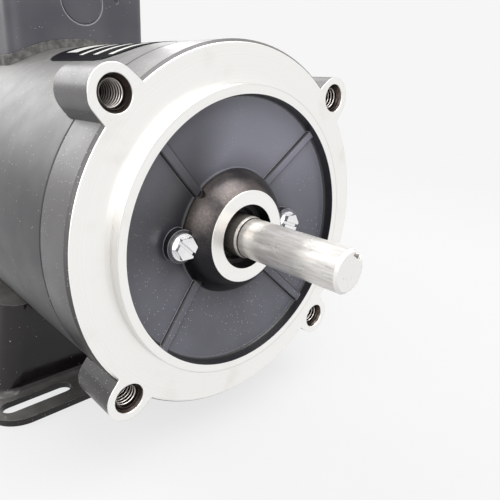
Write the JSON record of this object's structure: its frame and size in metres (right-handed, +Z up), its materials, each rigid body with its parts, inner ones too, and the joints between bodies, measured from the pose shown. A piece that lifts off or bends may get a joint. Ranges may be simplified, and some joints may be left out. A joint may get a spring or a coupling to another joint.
{
  "type": "ac induction motor",
  "caption": "Foot-mounted C-face induction motor with keyed shaft, ribbed face shield, conduit box, slotted base and covered cooling fan.",
  "frame": {"origin": "on the floor plane in the middle of the four foot slots", "axes": "+Z up, the output shaft points along -Y, +X to the right when facing the C-face"},
  "size_m": [0.165, 0.3044, 0.2181],
  "materials": {
    "cast_aluminium": "satin charcoal paint, machined bright on the faces",
    "shell_paint": "satin charcoal paint",
    "base_paint": "gloss black paint",
    "box_paint": "satin slate paint",
    "ground_steel": "ground",
    "lamination_steel": "stacked laminations",
    "bearing_steel": "ground and polished",
    "zinc_steel": "bright zinc plate",
    "spring_steel": "hardened and oiled",
    "cage_aluminium": "as cast",
    "enamelled_copper": "varnished wire",
    "black_rubber": "moulded",
    "foam_gasket": "closed-cell foam",
    "fan_plastic": "moulded",
    "lead_insulation": "extruded",
    "ground_green": "green dyed zinc"
  },
  "bodies": {
    "motor_frame": {"front_end_shield": "cast_aluminium", "rear_end_shield": "cast_aluminium", "stator_shell": "shell_paint", "stator_core": "lamination_steel", "stator_winding": "enamelled_copper", "shaft_seal": "black_rubber", "front_bearing_outer_ring": "bearing_steel", "rear_bearing_outer_ring": "bearing_steel", "bearing_retainer": "zinc_steel", "retainer_screws": "zinc_steel", "through_bolts": "zinc_steel", "wave_spring": "spring_steel", "fan_cover": "shell_paint", "fan_cover_screws": "zinc_steel", "mounting_base": "base_paint", "conduit_box": "box_paint", "conduit_box_gasket": "foam_gasket", "conduit_box_screws": "zinc_steel", "conduit_box_lid": "box_paint", "lid_gasket": "foam_gasket", "lid_screws": "zinc_steel", "lead_grommet": "black_rubber", "motor_leads": "lead_insulation", "ground_screw": "ground_green"},
    "rotor": {"shaft": "ground_steel", "rotor_core": "lamination_steel", "rotor_cage": "cage_aluminium", "front_bearing_inner_ring": "bearing_steel", "rear_bearing_inner_ring": "bearing_steel", "cooling_fan": "fan_plastic", "fan_retaining_ring": "spring_steel"},
    "front_bearing_set": {"front_bearing_cage": "bearing_steel", "front_bearing_balls": "bearing_steel"},
    "rear_bearing_set": {"rear_bearing_cage": "bearing_steel", "rear_bearing_balls": "bearing_steel"}
  },
  "joints": [
    {"name": "rotor_spin", "type": "hinge", "parent": "motor_frame", "child": "rotor", "pos_m": [0, 0, 0.0889], "axis": [0, -1, 0], "continuous": true},
    {"name": "front_bearing_roll", "type": "hinge", "parent": "motor_frame", "child": "front_bearing_set", "pos_m": [0, 0, 0.0889], "axis": [0, -1, 0], "continuous": true},
    {"name": "rear_bearing_roll", "type": "hinge", "parent": "motor_frame", "child": "rear_bearing_set", "pos_m": [0, 0, 0.0889], "axis": [0, -1, 0], "continuous": true}
  ],
  "couplings": [
    {"joint": "front_bearing_roll", "follows": "rotor_spin", "ratio": 0.38163},
    {"joint": "rear_bearing_roll", "follows": "rotor_spin", "ratio": 0.38163}
  ]
}
